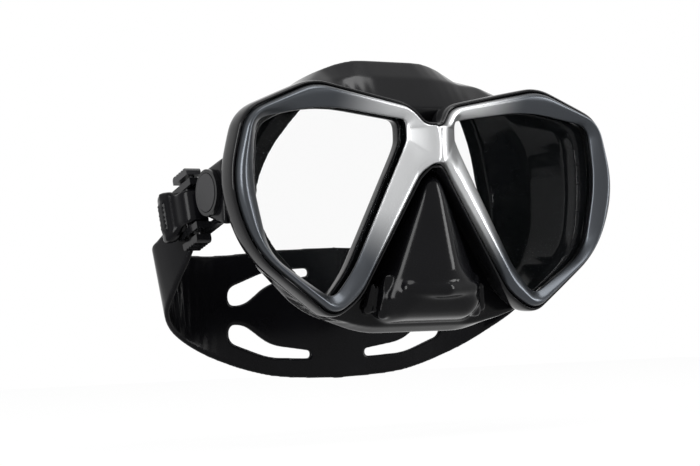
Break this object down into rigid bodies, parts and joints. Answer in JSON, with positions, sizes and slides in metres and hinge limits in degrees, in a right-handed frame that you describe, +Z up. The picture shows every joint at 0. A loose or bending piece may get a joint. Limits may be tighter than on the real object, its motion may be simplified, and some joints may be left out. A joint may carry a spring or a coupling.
{
  "type": "diving mask",
  "caption": "Twin-lens diving mask with a one-piece bezel, black frame, flat glass lenses, soft skirt with nose pocket, and a split head strap on swivel buckles.",
  "frame": {"origin": "middle of the face opening, 30 mm behind the lens plane, on the mask's plane of symmetry", "axes": "+X to the right of someone who looks at the front, -Y out of the lenses, +Z up"},
  "size_m": [0.182, 0.0869, 0.1241],
  "materials": {
    "bezel": "satin metallic",
    "black_gloss": "gloss",
    "silicone": "gloss",
    "strap_silicone": "matte",
    "lens": "clear",
    "pin_steel": "brushed",
    "button_plastic": "matte"
  },
  "bodies": {
    "mask": {"frame": "black_gloss", "bezel": "bezel", "lens_left": "lens", "lens_right": "lens", "skirt": "silicone", "collar_left": "black_gloss", "collar_right": "black_gloss"},
    "strap": {"strap": "strap_silicone"},
    "buckle_left": {"buckle_left": "black_gloss", "stud_left": "button_plastic", "roller_pin_left": "pin_steel"},
    "roller_left": {"roller_left": "black_gloss"},
    "upper_button_left": {"upper_button_left": "button_plastic"},
    "lower_button_left": {"lower_button_left": "black_gloss"},
    "buckle_right": {"buckle_right": "black_gloss", "stud_right": "button_plastic", "roller_pin_right": "pin_steel"},
    "roller_right": {"roller_right": "black_gloss"},
    "upper_button_right": {"upper_button_right": "button_plastic"},
    "lower_button_right": {"lower_button_right": "black_gloss"}
  },
  "joints": [
    {"name": "strap_swing", "type": "hinge", "parent": "mask", "child": "strap", "pos_m": [0, -0.01, 0.004], "axis": [1, 0, 0], "range_deg": [-25, 65]},
    {"name": "buckle_left_swivel", "type": "hinge", "parent": "mask", "child": "buckle_left", "pos_m": [-0.081, -0.01, 0.004], "axis": [1, 0, 0], "range_deg": [-25, 65]},
    {"name": "roller_left_spin", "type": "hinge", "parent": "buckle_left", "child": "roller_left", "pos_m": [-0.0823, 0.00682, -0.00082], "axis": [0, 0.2756, 0.9613], "continuous": true},
    {"name": "upper_button_left_press", "type": "slide", "parent": "buckle_left", "child": "upper_button_left", "axis": [0, -0.2756, -0.9613], "range_m": [0, 0.0015], "stiffness_N_per_m": 300},
    {"name": "lower_button_left_press", "type": "slide", "parent": "buckle_left", "child": "lower_button_left", "axis": [0, 0.2756, 0.9613], "range_m": [0, 0.0015], "stiffness_N_per_m": 300},
    {"name": "buckle_right_swivel", "type": "hinge", "parent": "mask", "child": "buckle_right", "pos_m": [0.081, -0.01, 0.004], "axis": [1, 0, 0], "range_deg": [-25, 65]},
    {"name": "roller_right_spin", "type": "hinge", "parent": "buckle_right", "child": "roller_right", "pos_m": [0.0823, 0.00682, -0.00082], "axis": [0, 0.2756, 0.9613], "continuous": true},
    {"name": "upper_button_right_press", "type": "slide", "parent": "buckle_right", "child": "upper_button_right", "axis": [0, -0.2756, -0.9613], "range_m": [0, 0.0015], "stiffness_N_per_m": 300},
    {"name": "lower_button_right_press", "type": "slide", "parent": "buckle_right", "child": "lower_button_right", "axis": [0, 0.2756, 0.9613], "range_m": [0, 0.0015], "stiffness_N_per_m": 300}
  ],
  "couplings": [
    {"joint": "buckle_left_swivel", "follows": "strap_swing", "ratio": 1},
    {"joint": "buckle_right_swivel", "follows": "strap_swing", "ratio": 1}
  ]
}
